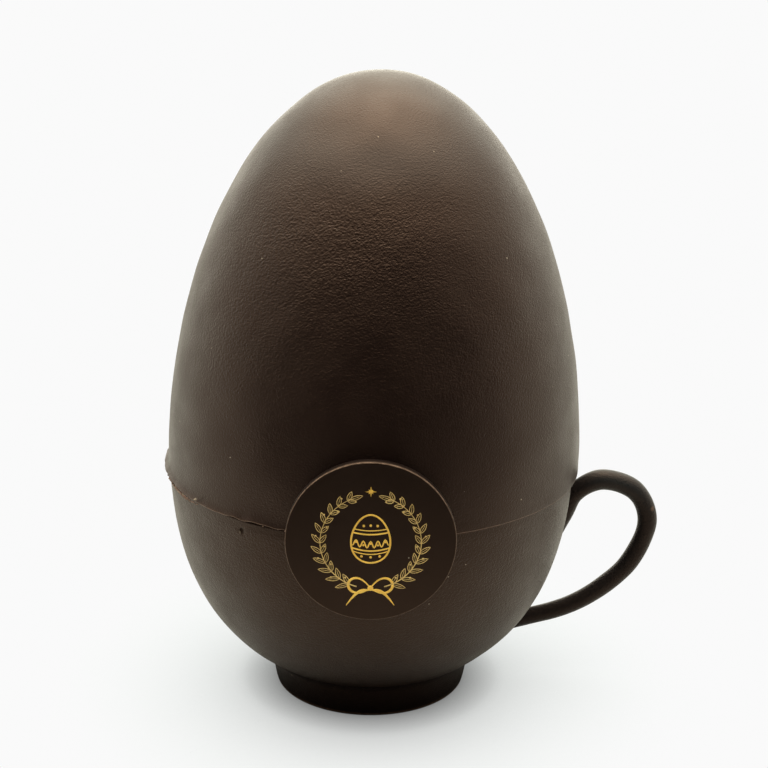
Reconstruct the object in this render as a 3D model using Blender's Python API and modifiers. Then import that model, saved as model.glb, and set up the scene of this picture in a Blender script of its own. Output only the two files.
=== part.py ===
"""A dark chocolate egg standing in a chocolate tea cup.

The lower half of the egg is the cup's bowl, with a low foot under it and an ear
handle at its right. The upper half sits on the bowl's rim, a little tilted, with
a squeezed lip along its left side. A flat round plaque stands on the front, over
the seam. Metres, +Z up, the plaque faces -Y and the handle points to +X.
"""

import math

import bmesh
import bpy
import numpy as np

# Egg curve: one closed form that both halves are turned from.
EGG_RADIUS = 0.055
EGG_HEIGHT = 0.1668
EGG_LIFT = 0.0023
EGG_TAPER = -0.178
EGG_FULLNESS = 0.125
EGG_TIP = -0.040

# Upper half.
TOP_SCALE = 1.0065
TOP_SHIFT = 0.0006
TOP_TILT = 0.0171

# Cup.
BOWL_SCALE = 0.992
SEAM_HEIGHT = 0.0634
FOOT_BASE_RADIUS = 0.0260
FOOT_WAIST_RADIUS = 0.0270
FOOT_RADIUS = 0.0274
FOOT_EDGE = 0.0008
FOOT_FULL_HEIGHT = 0.0046

# Squeezed lip of the upper half: a round plate set off to the left.
LIP_RADIUS = 0.0549
LIP_SHIFT = -0.0011
LIP_THICKNESS = 0.0022
LIP_EDGE = 0.0009

# How far the upper half is run past the seam, and the block that cuts it back there.
PAST_SEAM = 0.004
BLOCK_WIDTH = 0.16
BLOCK_DEPTH = 0.05

# Handle route at right angles to the plaque: reach, height and tube radius.
HANDLE_KNOTS = (
    (0.0490, 0.0415, 0.0026),
    (0.0521, 0.0477, 0.0026),
    (0.0557, 0.0546, 0.0027),
    (0.0634, 0.0585, 0.0029),
    (0.0727, 0.0549, 0.0028),
    (0.0761, 0.0455, 0.0027),
    (0.0710, 0.0332, 0.0027),
    (0.0607, 0.0239, 0.0026),
    (0.0509, 0.0193, 0.0025),
    (0.0390, 0.0163, 0.0025),
    (0.0300, 0.0145, 0.0025),
)
HANDLE_STEPS = 5
HANDLE_ROUNDNESS = 2

# Plaque and the dab of chocolate that holds it.
PLAQUE_RADIUS = 0.0207
PLAQUE_THICKNESS = 0.0024
PLAQUE_HEIGHT = 0.0637
PLAQUE_BACK = 0.0551
PLAQUE_TILT = math.radians(1.7)
PLAQUE_EDGE = 0.0003
DAB_RADIUS = 0.0085
DAB_DEPTH = 0.0040
DAB_INSIDE_PLAQUE = 0.0008

# Clearance between neighbouring pieces, and how finely round shapes are divided.
GAP = 0.0003
ROUND_STEPS = 72
TOP_RINGS = 24
BOWL_RINGS = 18
CURVE_SAMPLES = 2001
SLOPE_STEP = 0.00001
MERGE = 0.00005
SHARP_ANGLE = math.radians(35)

# Colour and roughness.
CHOCOLATE = ((0.030, 0.017, 0.012, 1.0), 0.45)
PLAQUE_CHOCOLATE = ((0.018, 0.011, 0.009, 1.0), 0.40)


def clear_scene():
    for old in list(bpy.data.objects):
        bpy.data.objects.remove(old, do_unlink=True)


def make_collection(name):
    collection = bpy.data.collections.new(name)
    bpy.context.scene.collection.children.link(collection)
    return collection


def make_material(name, colour, roughness):
    material = bpy.data.materials.new(name)
    material.use_nodes = True
    shader = material.node_tree.nodes["Principled BSDF"]
    shader.inputs["Base Color"].default_value = colour
    shader.inputs["Roughness"].default_value = roughness
    shader.inputs["Metallic"].default_value = 0.0
    return material


def egg_shape(angle):
    """Unscaled half width of the egg at an angle from its tip."""
    c = np.cos(angle)
    return np.sin(angle) * (1 + EGG_TAPER * c + EGG_FULLNESS * c**2 + EGG_TIP * c**3)


def egg_height(angle):
    return EGG_LIFT + EGG_HEIGHT * (1 + np.cos(angle)) / 2


def angle_at_height(height):
    return math.acos(2 * (height - EGG_LIFT) / EGG_HEIGHT - 1)


def egg_curve(first, last, rings, scale, grow=0.0):
    """(radius, height) points down the egg's outer side, moved outwards by grow."""
    widest = egg_shape(np.linspace(0, math.pi, CURVE_SAMPLES)).max()
    angles = np.linspace(first, last, rings + 1)
    def points(a):
        return np.stack([scale * EGG_RADIUS * egg_shape(a) / widest, egg_height(a)], axis=1)

    slope = points(angles + SLOPE_STEP) - points(angles - SLOPE_STEP)
    slope /= np.linalg.norm(slope, axis=1)[:, None]
    outward = np.stack([-slope[:, 1], slope[:, 0]], axis=1)
    curve = points(angles) + grow * outward
    curve[:, 0] = np.maximum(curve[:, 0], 0.0)
    return curve


def turned(name, profile, collection, steps=ROUND_STEPS):
    """A solid of revolution about Z from a profile that runs down its outer side."""
    mesh = bpy.data.meshes.new(name)
    points = [(radius, 0.0, height) for radius, height in profile]
    edges = [(i, i + 1) for i in range(len(points) - 1)]
    mesh.from_pydata(points, edges, [])
    obj = bpy.data.objects.new(name, mesh)
    collection.objects.link(obj)
    screw = obj.modifiers.new("turn", "SCREW")
    screw.axis = "Z"
    screw.angle = math.tau
    screw.steps = steps
    screw.render_steps = steps
    screw.use_merge_vertices = True
    screw.merge_threshold = MERGE
    return obj


def as_cutter(obj):
    obj.hide_render = True
    obj.display_type = "WIRE"
    return obj


def join_or_cut(obj, other, operation):
    boolean = obj.modifiers.new(other.name, "BOOLEAN")
    boolean.operation = operation
    boolean.object = other


def finish(obj, material):
    """Bakes the modifiers, shades the round faces smooth and gives the material."""
    graph = bpy.context.evaluated_depsgraph_get()
    baked = bpy.data.meshes.new_from_object(obj.evaluated_get(graph))
    obj.modifiers.clear()
    obj.data = baked
    baked.materials.clear()
    baked.materials.append(material)
    baked.shade_smooth()
    baked.set_sharp_from_angle(angle=SHARP_ANGLE)


def top_body(name, collection, grow):
    """The upper half run on past the seam, tilted about the seam's centre."""
    past_seam = angle_at_height(SEAM_HEIGHT - PAST_SEAM)
    curve = egg_curve(0.0, past_seam, TOP_RINGS, TOP_SCALE, grow)
    curve[0, 0] = 0.0
    profile = [(r, z - SEAM_HEIGHT) for r, z in curve]
    profile.append((0.0, profile[-1][1]))
    body = turned(name, profile, collection)
    body.location = (TOP_SHIFT, 0.0, SEAM_HEIGHT)
    body.rotation_euler.y = TOP_TILT
    return body


def make_egg_top(parts, cutters, material):
    """Upper half of the egg with its lip, cut flat just above the bowl's rim."""
    top = top_body("egg_top", parts, 0.0)
    bottom = SEAM_HEIGHT + GAP / 2

    bpy.ops.mesh.primitive_cylinder_add(
        vertices=ROUND_STEPS,
        radius=LIP_RADIUS,
        depth=LIP_THICKNESS + 2 * LIP_EDGE,
        location=(LIP_SHIFT, 0.0, bottom + LIP_THICKNESS / 2 - LIP_EDGE),
    )
    lip = as_cutter(claim(cutters, "lip_plate"))
    bevel = lip.modifiers.new("edge", "BEVEL")
    bevel.width = LIP_EDGE
    bevel.segments = 2
    join_or_cut(top, lip, "UNION")

    bpy.ops.mesh.primitive_cube_add(size=1.0, location=(0.0, 0.0, bottom - BLOCK_DEPTH / 2))
    below = as_cutter(claim(cutters, "below_seam"))
    below.scale = (BLOCK_WIDTH, BLOCK_WIDTH, BLOCK_DEPTH)
    join_or_cut(top, below, "DIFFERENCE")
    finish(top, material)


def claim(collection, name):
    """Names the object just added and moves it to the given collection."""
    obj = bpy.context.object
    obj.name = name
    for old in list(obj.users_collection):
        old.objects.unlink(obj)
    collection.objects.link(obj)
    return obj


def bowl_curve(rings, grow=0.0):
    first = angle_at_height(SEAM_HEIGHT - GAP / 2)
    curve = egg_curve(first, math.pi, rings, BOWL_SCALE, grow)
    curve[-1, 0] = 0.0
    return curve


def make_bowl(parts, material):
    curve = bowl_curve(BOWL_RINGS)
    profile = [(0.0, curve[0, 1])] + [tuple(point) for point in curve]
    finish(turned("cup_bowl", profile, parts), material)


def make_foot(parts, material):
    """A low turned foot whose top is a seat that follows the bowl."""
    seat = bowl_curve(3 * BOWL_RINGS, GAP)
    inside = seat[seat[:, 0] < FOOT_WAIST_RADIUS]
    rim_height = float(np.interp(FOOT_WAIST_RADIUS, seat[::-1, 0], seat[::-1, 1]))
    profile = [tuple(point) for point in inside[::-3]]
    profile += [
        (FOOT_WAIST_RADIUS, rim_height),
        (FOOT_RADIUS, rim_height - FOOT_EDGE),
        (FOOT_RADIUS, FOOT_FULL_HEIGHT),
        (FOOT_BASE_RADIUS + FOOT_EDGE, 2 * FOOT_EDGE),
        (FOOT_BASE_RADIUS + FOOT_EDGE / 2, FOOT_EDGE / 2),
        (FOOT_BASE_RADIUS, 0.0),
        (0.0, 0.0),
    ]
    profile[0] = (0.0, profile[0][1])
    finish(turned("cup_foot", profile, parts), material)


def handle_route():
    """Catmull-Rom curve through the knots, HANDLE_STEPS points to each stretch."""
    knots = np.array(HANDLE_KNOTS)
    ends = np.stack([2 * knots[0] - knots[1], 2 * knots[-1] - knots[-2]])
    knots = np.concatenate([ends[:1], knots, ends[1:]])
    u = np.linspace(0, 1, HANDLE_STEPS, endpoint=False)[:, None]
    stretches = []
    for a, b, c, d in zip(knots, knots[1:], knots[2:], knots[3:]):
        bend = 2 * b + (c - a) * u + (2 * a - 5 * b + 4 * c - d) * u**2
        stretches.append((bend + (3 * b - a - 3 * c + d) * u**3) / 2)
    return np.concatenate(stretches + [knots[-2:-1]])


def make_handle(parts, cutters, material):
    """A tapered round tube bent to an ear, its ends cut to the bowl's wall."""
    data = bpy.data.curves.new("handle_route", "CURVE")
    data.dimensions = "3D"
    data.bevel_depth = 1.0
    data.bevel_resolution = HANDLE_ROUNDNESS
    data.use_fill_caps = True
    route = handle_route()
    spline = data.splines.new("POLY")
    spline.points.add(len(route) - 1)
    for point, (reach, height, radius) in zip(spline.points, route):
        point.co = (reach, 0.0, height, 1.0)
        point.radius = radius
    tube = bpy.data.objects.new("handle_tube", data)
    parts.objects.link(tube)
    bpy.context.view_layer.update()

    graph = bpy.context.evaluated_depsgraph_get()
    mesh = bpy.data.meshes.new_from_object(tube.evaluated_get(graph))
    weld(mesh)
    handle = bpy.data.objects.new("cup_handle", mesh)
    handle.matrix_world = tube.matrix_world
    parts.objects.link(handle)
    bpy.data.objects.remove(tube)

    curve = bowl_curve(BOWL_RINGS, GAP)
    profile = [(0.0, curve[0, 1])] + [tuple(point) for point in curve]
    clearance = as_cutter(turned("bowl_clearance", profile, cutters))
    join_or_cut(handle, clearance, "DIFFERENCE")
    finish(handle, material)


def weld(mesh):
    """Merges a tube's loose end caps into its wall."""
    work = bmesh.new()
    work.from_mesh(mesh)
    bmesh.ops.remove_doubles(work, verts=work.verts, dist=MERGE)
    bmesh.ops.recalc_face_normals(work, faces=work.faces)
    work.to_mesh(mesh)
    work.free()


def make_plaque(parts, cutters, material):
    """A round plate over the seam, leaning on the upper half, with its dab behind."""
    facing = (math.pi / 2 + PLAQUE_TILT, 0.0, 0.0)
    middle = PLAQUE_BACK + PLAQUE_THICKNESS / 2
    bpy.ops.mesh.primitive_cylinder_add(
        vertices=ROUND_STEPS,
        radius=PLAQUE_RADIUS,
        depth=PLAQUE_THICKNESS,
        location=(0.0, -middle, PLAQUE_HEIGHT),
        rotation=facing,
    )
    plaque = claim(parts, "plaque")
    bevel = plaque.modifiers.new("edge", "BEVEL")
    bevel.width = PLAQUE_EDGE
    bevel.segments = 1
    bevel.limit_method = "ANGLE"

    bpy.ops.mesh.primitive_cylinder_add(
        vertices=ROUND_STEPS // 2,
        radius=DAB_RADIUS,
        depth=DAB_DEPTH,
        location=(0.0, DAB_DEPTH / 2 - PLAQUE_BACK - DAB_INSIDE_PLAQUE, PLAQUE_HEIGHT),
        rotation=facing,
    )
    dab = as_cutter(claim(cutters, "plaque_dab"))
    join_or_cut(plaque, dab, "UNION")

    join_or_cut(plaque, as_cutter(top_body("top_clearance", cutters, GAP)), "DIFFERENCE")
    join_or_cut(plaque, cutters.objects["bowl_clearance"], "DIFFERENCE")
    finish(plaque, material)


def main():
    clear_scene()
    parts = make_collection("chocolate_egg_cup")
    cutters = make_collection("cutters")
    chocolate = make_material("dark_chocolate", *CHOCOLATE)
    plaque_chocolate = make_material("plaque_chocolate", *PLAQUE_CHOCOLATE)
    make_egg_top(parts, cutters, chocolate)
    make_bowl(parts, chocolate)
    make_foot(parts, chocolate)
    make_handle(parts, cutters, chocolate)
    make_plaque(parts, cutters, plaque_chocolate)


main()
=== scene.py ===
"""A dark chocolate egg standing in a chocolate tea cup, with a gilded plaque on its front.

Metres, +Z up. The foot's centre is at the origin, the plaque faces -Y and the handle points
to +X. Every shell is worked out as rings of points, from its top to its bottom.
"""

import math

import bpy
import numpy as np
from mathutils import Matrix


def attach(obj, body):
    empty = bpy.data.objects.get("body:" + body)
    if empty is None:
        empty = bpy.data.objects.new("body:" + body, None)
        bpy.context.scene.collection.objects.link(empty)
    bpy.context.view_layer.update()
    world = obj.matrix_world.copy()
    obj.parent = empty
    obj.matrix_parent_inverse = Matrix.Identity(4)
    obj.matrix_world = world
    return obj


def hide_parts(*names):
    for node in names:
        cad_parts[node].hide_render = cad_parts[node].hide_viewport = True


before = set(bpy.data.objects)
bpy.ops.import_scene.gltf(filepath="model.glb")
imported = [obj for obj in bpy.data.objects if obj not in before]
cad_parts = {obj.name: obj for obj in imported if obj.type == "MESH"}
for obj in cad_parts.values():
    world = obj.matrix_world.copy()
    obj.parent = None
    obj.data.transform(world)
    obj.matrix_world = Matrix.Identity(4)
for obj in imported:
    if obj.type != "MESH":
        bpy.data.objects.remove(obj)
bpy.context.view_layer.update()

MM = 0.001

# Egg curve shared by both halves.
EGG_RADIUS = 55.0 * MM
EGG_HEIGHT = 166.8 * MM
EGG_LIFT = 2.3 * MM
EGG_TAPER = -0.178
EGG_FULLNESS = 0.125
EGG_TIP = -0.040
CURVE_SAMPLES = 4001

# Upper half: a little wide, set off to the right and tilted about the seam.
TOP_SCALE = 1.0065
TOP_SHIFT = 0.6 * MM
TOP_TILT = 0.0171

# Seam, and the squeezed lip along its left side.
SEAM_HEIGHT = 63.4 * MM
SEAM_RISE = 1.35 * MM
SEAM_RISE_SPREAD = math.radians(46)
SEAM_WAVE = 0.10 * MM
SEAM_GAP = 0.05 * MM
SEAM_OPENING = 0.48 * MM
OPENING_MIDDLE = math.radians(238)
OPENING_SPREAD = math.radians(11)
TOP_RIM_ROUND = 0.30 * MM
CUP_RIM_ROUND = 0.35 * MM
LIP_REACH = 1.82 * MM
LIP_SETBACK = 0.39 * MM
LIP_TALL = 5.5 * MM
LIP_BRIM = 2.0 * MM

# Cup.
BOWL_SCALE = 0.992
FOOT_BASE_RADIUS = 26.0 * MM
FOOT_RADIUS = 27.4 * MM

# Handle route: reach, height and tube radius.
HANDLE_KNOTS = np.array([
    (49.0, 41.5, 2.6), (52.1, 47.7, 2.6), (55.7, 54.6, 2.7), (63.4, 58.5, 2.9),
    (72.7, 54.9, 2.8), (76.1, 45.5, 2.7), (71.0, 33.2, 2.7), (60.7, 23.9, 2.6),
    (50.9, 19.3, 2.5), (39.0, 16.3, 2.5), (30.0, 14.5, 2.5),
]) * MM

# Plaque.
PLAQUE_RADIUS = 20.7 * MM
PLAQUE_THICKNESS = 2.4 * MM
PLAQUE_HEIGHT = 63.7 * MM
PLAQUE_BACK = 55.1 * MM
PLAQUE_TILT = math.radians(1.7)
PLAQUE_EDGE = 0.18 * MM

ROUND_STEPS = 420
TURN = np.linspace(0, math.tau, ROUND_STEPS, endpoint=False)


# ---------------------------------------------------------------- curves and fields

def smooth(value, low, high):
    """Eased step: 0 below low, 1 above high, and the cubic 3u^2 - 2u^3 between them."""
    u = np.clip((value - low) / (high - low), 0, 1)
    return u * u * (3 - 2 * u)


def hump(value, middle, spread):
    """Bell of height 1: e to the minus square of the distance from the middle, over the spread."""
    return np.exp(-((value - middle) / spread) ** 2)


def angle_off(turn, middle):
    """Signed angle from middle to turn, the short way round."""
    return (turn - middle + math.pi) % math.tau - math.pi


def egg_curve(scale):
    """Radius, height and run of the egg's side from its crown: the radius is the sine of the
    angle times a cubic of its cosine, and the height goes with the cosine."""
    angle = np.linspace(0, math.pi, CURVE_SAMPLES)
    c = np.cos(angle)
    radius = np.sin(angle) * (1 + EGG_TAPER * c + EGG_FULLNESS * c**2 + EGG_TIP * c**3)
    radius *= scale * EGG_RADIUS / radius.max()
    height = EGG_LIFT + EGG_HEIGHT * (1 + c) / 2
    run = np.concatenate([[0], np.cumsum(np.hypot(np.diff(radius), np.diff(height)))])
    return radius, height, run


def ripples(points, spacing, stretch, seed, waves=56):
    """Even random ripples of height about 1: a sum of plane waves in random directions, whose
    crests lie about spacing apart and are drawn out sideways by stretch."""
    draw = np.random.default_rng(seed)
    heading = draw.normal(size=(waves, 3))
    heading /= np.linalg.norm(heading, axis=1)[:, None]
    heading *= math.tau / (spacing * draw.uniform(0.75, 1.35, (waves, 1)))
    heading /= np.array([stretch, stretch, 1.0])
    phase = draw.uniform(0, math.tau, waves)
    return np.cos(points @ heading.T + phase).sum(-1) * math.sqrt(2 / waves)


def around(radius, height, turn=TURN):
    """Rings of points about Z: x and y are the radius times the cosine and sine of the turn."""
    return np.stack([radius * np.cos(turn), radius * np.sin(turn), height + 0 * turn], -1)


def outward(rings):
    """Unit normals of rings that run down a piece: along a ring crossed with down the piece."""
    down = np.gradient(rings, axis=0)
    along = np.roll(rings, -1, axis=1) - np.roll(rings, 1, axis=1)
    normal = np.cross(down, along)
    return normal / np.maximum(np.linalg.norm(normal, axis=-1, keepdims=True), 1e-12)


# ---------------------------------------------------------------- meshes

def skin(rings, **marks):
    """Points and faces of the closed surface through rings of points: each ring is joined to
    the next, and the first and last are drawn in to their own middle points. Each mark is a
    number for every point of the rings."""
    count, steps = rings.shape[:2]
    points = np.concatenate([rings.reshape(-1, 3), rings[:1].mean(1), rings[-1:].mean(1)])
    here = np.arange(count * steps).reshape(count, steps)
    beside = np.roll(here, -1, axis=1)
    walls = np.stack([here[:-1], here[1:], beside[1:], beside[:-1]], -1).reshape(-1, 4)
    first, last = np.full(steps, count * steps), np.full(steps, count * steps + 1)
    caps = np.concatenate([np.stack([first, here[0], beside[0]], -1),
                           np.stack([last, beside[-1], here[-1]], -1)])
    a, b, c = (points[caps[:, i]] for i in range(3))
    volume = np.einsum("ij,ij->i", a, np.cross(b, c)).sum()
    for i, j, k in ((0, 1, 2), (0, 2, 3)):
        a, b, c = (points[walls[:, n]] for n in (i, j, k))
        volume += np.einsum("ij,ij->i", a, np.cross(b, c)).sum()
    if volume < 0:
        walls, caps = walls[:, ::-1], caps[:, ::-1]
    marks = {name: np.concatenate([np.broadcast_to(value, (count, steps)).ravel(),
                                   [np.mean(value), np.mean(value)]])
             for name, value in marks.items()}
    return points, walls, caps, marks


def piece(name, skins, material, node=None):
    """One mesh object from these skins. It rides on the egg's one body."""
    offsets = np.cumsum([0] + [len(s[0]) for s in skins])
    points = np.concatenate([s[0] for s in skins])
    faces = []
    for start, (_, walls, caps, _) in zip(offsets, skins):
        faces += (walls + start).tolist() + (caps + start).tolist()
    mesh = bpy.data.meshes.new(name)
    mesh.from_pydata(points.tolist(), [], faces)
    for mark in skins[0][3]:
        values = np.concatenate([s[3][mark] for s in skins]).astype(np.float32)
        mesh.attributes.new(mark, "FLOAT", "POINT").data.foreach_set("value", values)
    mesh.shade_smooth()
    mesh.materials.append(material)
    obj = bpy.data.objects.new(name, mesh)
    bpy.context.scene.collection.objects.link(obj)
    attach(obj, "root")
    if node:
        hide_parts(node)
    return obj


# ---------------------------------------------------------------- node helpers

def put(tree, kind, inputs=None, **choices):
    """Adds a node. Each input is given a value, or another node's output to read."""
    node = tree.nodes.new("ShaderNode" + kind)
    for key, value in choices.items():
        setattr(node, key, value)
    for key, value in (inputs or {}).items():
        if isinstance(value, bpy.types.NodeSocket):
            tree.links.new(value, node.inputs[key])
        else:
            node.inputs[key].default_value = value
    return node


def maths(tree, operation, *values, clamp=False):
    inputs = dict(enumerate(values))
    return put(tree, "Math", inputs, operation=operation, use_clamp=clamp).outputs[0]


def vectors(tree, operation, *values, result="Vector"):
    inputs = dict(enumerate(values))
    return put(tree, "VectorMath", inputs, operation=operation).outputs[result]


def spread(tree, value, low, high, to_low=0.0, to_high=1.0, ease="SMOOTHSTEP"):
    inputs = {"Value": value, "From Min": low, "From Max": high, "To Min": to_low,
              "To Max": to_high}
    return put(tree, "MapRange", inputs, interpolation_type=ease).outputs["Result"]


def blend(tree, share, first, second):
    """Mix of two colours."""
    node = put(tree, "Mix", {"Factor": share}, data_type="RGBA")
    for key, value in (("A", first), ("B", second)):
        socket = next(s for s in node.inputs if s.name == key and s.type == "RGBA")
        if isinstance(value, bpy.types.NodeSocket):
            tree.links.new(value, socket)
        else:
            socket.default_value = value
    return next(s for s in node.outputs if s.type == "RGBA")


def effect(name, inputs, outputs):
    """A node group with these named inputs, with their first values, and named outputs."""
    tree = bpy.data.node_groups.new(name, "ShaderNodeTree")
    for key, value in inputs.items():
        kind = ("NodeSocketFloat" if isinstance(value, (int, float)) else
                "NodeSocketVector" if len(value) == 3 else "NodeSocketColor")
        socket = tree.interface.new_socket(key, in_out="INPUT", socket_type=kind)
        socket.default_value = value
    for key, kind in outputs.items():
        tree.interface.new_socket(key, in_out="OUTPUT", socket_type="NodeSocket" + kind)
    return tree, tree.nodes.new("NodeGroupInput").outputs, tree.nodes.new("NodeGroupOutput")


def use(tree, group, **inputs):
    node = tree.nodes.new("ShaderNodeGroup")
    node.node_tree = group
    for key, value in inputs.items():
        key = key.replace("_", " ")
        if isinstance(value, bpy.types.NodeSocket):
            tree.links.new(value, node.inputs[key])
        else:
            node.inputs[key].default_value = value
    return node.outputs


# ---------------------------------------------------------------- shared effects

def make_mould_grain():
    """Fine leathery grain that the mould leaves: rounded pebbles between soft creases, drawn
    out sideways, over a slower uneven wave. The height runs from about 0 to 1."""
    tree, given, out = effect(
        "mould_grain", {"Vector": (0, 0, 0), "Spacing": 1.0 * MM, "Stretch": 2.0, "Lean": 0.12},
        {"Height": "Float"})
    parts = put(tree, "SeparateXYZ", {"Vector": given["Vector"]}).outputs
    wide = maths(tree, "MULTIPLY", given["Spacing"], given["Stretch"])
    leaned = maths(tree, "SUBTRACT", parts["Z"], maths(tree, "MULTIPLY", parts["X"], given["Lean"]))
    place = put(tree, "CombineXYZ", {
        "X": maths(tree, "DIVIDE", parts["X"], wide), "Y": maths(tree, "DIVIDE", parts["Y"], wide),
        "Z": maths(tree, "DIVIDE", leaned, given["Spacing"])}).outputs[0]
    wave = put(tree, "TexNoise", {"Vector": place, "Scale": 1.1, "Detail": 2.0,
                                  "Roughness": 0.55, "Distortion": 0.4}).outputs[0]
    pebble = put(tree, "TexVoronoi", {"Vector": place, "Scale": 1.25, "Smoothness": 0.7,
                                      "Randomness": 1.0}, feature="SMOOTH_F1").outputs["Distance"]
    total = maths(tree, "MULTIPLY_ADD", pebble, -0.55, maths(tree, "ADD", wave, 0.35))
    tree.links.new(total, out.inputs["Height"])
    return tree


def make_bloom_specks():
    """Sparse pale specks: the middles of scattered cells, kept in a share of the cells."""
    tree, given, out = effect(
        "bloom_specks", {"Vector": (0, 0, 0), "Spacing": 4.5 * MM, "Size": 0.17 * MM, "Share": 0.3},
        {"Mask": "Float"})
    place = vectors(tree, "DIVIDE", given["Vector"], given["Spacing"])
    cells = put(tree, "TexVoronoi", {"Vector": place, "Scale": 1.0}, feature="F1").outputs
    size = maths(tree, "DIVIDE", given["Size"], given["Spacing"])
    dot = maths(tree, "LESS_THAN", cells["Distance"], size)
    shade = put(tree, "SeparateColor", {"Color": cells["Color"]}).outputs[0]
    kept = maths(tree, "LESS_THAN", shade, given["Share"])
    tree.links.new(maths(tree, "MULTIPLY", dot, kept), out.inputs["Mask"])
    return tree


def make_cocoa_drift():
    """Slow drift between two browns, with a faint fine mottle."""
    tree, given, out = effect(
        "cocoa_drift", {"Vector": (0, 0, 0), "Spacing": 30 * MM, "Dark": (0, 0, 0, 1),
                        "Light": (1, 1, 1, 1)}, {"Color": "Color"})
    place = vectors(tree, "DIVIDE", given["Vector"], given["Spacing"])
    slow = put(tree, "TexNoise", {"Vector": place, "Scale": 1.0, "Detail": 3.0}).outputs[0]
    quick = put(tree, "TexNoise", {"Vector": place, "Scale": 26.0, "Detail": 2.0}).outputs[0]
    share = maths(tree, "ADD", spread(tree, slow, 0.3, 0.7, 0.0, 0.7),
                  spread(tree, quick, 0.35, 0.65, 0.0, 0.3))
    tree.links.new(blend(tree, share, given["Dark"], given["Light"]), out.inputs["Color"])
    return tree


def make_rubbed_edge():
    """Where an edge is rubbed pale: the painted mark, broken up by noise."""
    tree, given, out = effect(
        "rubbed_edge", {"Vector": (0, 0, 0), "Mark": 0.0, "Grain": 1.2 * MM, "Break": 0.5},
        {"Mask": "Float"})
    place = vectors(tree, "DIVIDE", given["Vector"], given["Grain"])
    noise = put(tree, "TexNoise", {"Vector": place, "Scale": 1.0, "Detail": 3.0}).outputs[0]
    broken = spread(tree, noise, 0.35, 0.6)
    kept = maths(tree, "SUBTRACT", 1.0,
                 maths(tree, "MULTIPLY", given["Break"], maths(tree, "SUBTRACT", 1.0, broken)))
    mask = maths(tree, "MULTIPLY", given["Mark"], kept, clamp=True)
    tree.links.new(mask, out.inputs["Mask"])
    return tree


def make_gloss_drift():
    """Slow or fine noise between two roughnesses, and the noise itself for a bump."""
    tree, given, out = effect(
        "gloss_drift", {"Vector": (0, 0, 0), "Spacing": 9 * MM, "Low": 0.4, "High": 0.5},
        {"Roughness": "Float", "Height": "Float"})
    place = vectors(tree, "DIVIDE", given["Vector"], given["Spacing"])
    noise = put(tree, "TexNoise", {"Vector": place, "Scale": 1.0, "Detail": 3.0}).outputs[0]
    tree.links.new(spread(tree, noise, 0.3, 0.7, given["Low"], given["High"]),
                   out.inputs["Roughness"])
    tree.links.new(noise, out.inputs["Height"])
    return tree


def make_nick_and_reflection_spot():
    """A small spot: 1 at its middle, 0 past its half size. It marks the nick and the handle's
    painted reflection.
    """
    tree, given, out = effect(
        "nick_and_reflection_spot", {"Vector": (0, 0, 0), "Middle": (0, 0, 0), "Half Size": (1, 1, 1)},
        {"Mask": "Float"})
    off = vectors(tree, "SUBTRACT", given["Vector"], given["Middle"])
    off = vectors(tree, "DIVIDE", off, given["Half Size"])
    mask = spread(tree, vectors(tree, "LENGTH", off, result="Value"), 0.35, 1.0, 1.0, 0.0)
    tree.links.new(mask, out.inputs["Mask"])
    return tree


MOULD_GRAIN = make_mould_grain()
BLOOM_SPECKS = make_bloom_specks()
COCOA_DRIFT = make_cocoa_drift()
RUBBED_EDGE = make_rubbed_edge()
GLOSS_DRIFT = make_gloss_drift()
NICK_AND_REFLECTION_SPOT = make_nick_and_reflection_spot()

# Middle and half size of each mark: the nick in the cup, and the handle's painted reflection.
NICK = ((-32.1 * MM, -43.9 * MM, 60.9 * MM), (0.6 * MM, 0.9 * MM, 0.95 * MM))
HANDLE_REFLECTION = ((77.2 * MM, -2.1 * MM, 50.8 * MM), (0.9 * MM, 1.1 * MM, 0.9 * MM))

FINE_SPACING = 0.44 * MM
CHOCOLATE_IOR = 1.43
CHOCOLATE_SHEEN = (1.0, 0.60, 0.43, 1)
PALE_CRUMB = (0.26, 0.22, 0.18, 1)
# Grey of the painted sheen on the crown and the handle, mixed into the base colour.
PAINTED_SHEEN_GREY = (0.026, 0.036, 0.042, 1)
# Brown of the rubbed edges, also used for the handle's painted reddish reflection.
RUBBED_AND_REFLECTION_BROWN = (0.17, 0.098, 0.068, 1)


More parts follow.
